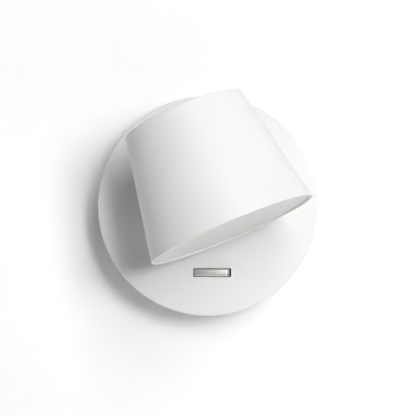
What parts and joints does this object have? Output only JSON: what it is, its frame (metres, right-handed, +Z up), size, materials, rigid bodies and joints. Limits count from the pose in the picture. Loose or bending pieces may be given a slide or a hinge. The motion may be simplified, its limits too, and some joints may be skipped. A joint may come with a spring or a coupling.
{
  "type": "wall spotlight",
  "caption": "Round wall cup with a rocker switch and a truncated-cone LED head that swivels and tilts on a short hidden neck.",
  "frame": {"origin": "middle of the two wall screw slots, on the wall plane at the back of the wall cup", "axes": "+X right and +Z up as seen from the room, +Y into the wall, so the lamp faces -Y"},
  "size_m": [0.15, 0.1547, 0.1503],
  "materials": {
    "acetal": "white acetal",
    "bare_aluminium": "machined aluminium",
    "black_pvc": "black PVC insulation",
    "black_rubber": "moulded rubber",
    "blue_pvc": "blue PVC insulation",
    "board_mask": "white solder mask on an aluminium core",
    "brass": "drawn brass",
    "brown_pvc": "brown PVC insulation",
    "driver_mask": "green glass-epoxy laminate with parts",
    "driver_plastic": "white polycarbonate, fine spark texture",
    "earth_pvc": "green and yellow PVC insulation",
    "opal": "opal acrylic, satin",
    "phosphor": "phosphor-filled silicone",
    "reflector_white": "white polycarbonate",
    "satin_chrome": "satin nickel-chrome plate",
    "spring_steel": "blued spring steel",
    "switch_plastic": "black nylon",
    "white_coat": "matt white powder coat on aluminium",
    "white_nylon": "natural nylon",
    "white_silicone": "white silicone sleeve",
    "zinc_steel": "bright zinc plate"
  },
  "bodies": {
    "base": {"wall_cover": "white_coat", "wall_bracket": "zinc_steel", "cover_screws": "zinc_steel", "cable_grommet": "black_rubber", "terminal_block": "white_nylon", "terminal_clamps": "brass", "terminal_screws": "zinc_steel", "block_screws": "zinc_steel", "earth_screw": "zinc_steel", "driver_case": "driver_plastic", "driver_lid": "driver_plastic", "driver_board": "driver_mask", "driver_screws": "zinc_steel", "switch_housing": "switch_plastic", "rocker_pin": "switch_plastic", "switch_terminals": "brass", "switch_screws": "zinc_steel", "swivel_bush": "acetal", "friction_washer": "acetal", "stop_pin": "zinc_steel", "live_lead": "brown_pvc", "switched_lead": "black_pvc", "neutral_lead": "blue_pvc", "earth_lead": "earth_pvc", "output_lead": "white_silicone"},
    "rocker": {"rocker": "satin_chrome"},
    "neck": {"neck": "white_coat", "stop_washer": "zinc_steel", "spring_washer": "spring_steel", "swivel_nut": "zinc_steel", "neck_lead": "white_silicone"},
    "head": {"head_shell": "white_coat", "pivot_housing": "white_coat", "housing_screws": "zinc_steel", "tilt_pin": "zinc_steel", "tilt_nut": "zinc_steel", "tilt_washers": "acetal", "lead_grommet": "black_rubber", "heat_sink": "bare_aluminium", "heat_sink_screws": "zinc_steel", "led_board": "board_mask", "led_chips": "phosphor", "led_connector": "white_nylon", "board_screws": "zinc_steel", "reflector": "reflector_white", "diffuser": "opal", "head_lead": "white_silicone"}
  },
  "joints": [
    {"name": "head_swivel", "type": "hinge", "parent": "base", "child": "neck", "pos_m": [0, -0.035, 0.0225], "axis": [0, -1, 0], "range_deg": [-184.9, 139.1]},
    {"name": "head_tilt", "type": "hinge", "parent": "neck", "child": "head", "pos_m": [0, -0.094, 0.0225], "axis": [-0.9212, 0, -0.3891], "range_deg": [-3, 83]},
    {"name": "switch_rock", "type": "hinge", "parent": "base", "child": "rocker", "pos_m": [0.0031, -0.031, -0.0454], "axis": [0, 0, 1], "range_deg": [0, 16]}
  ]
}
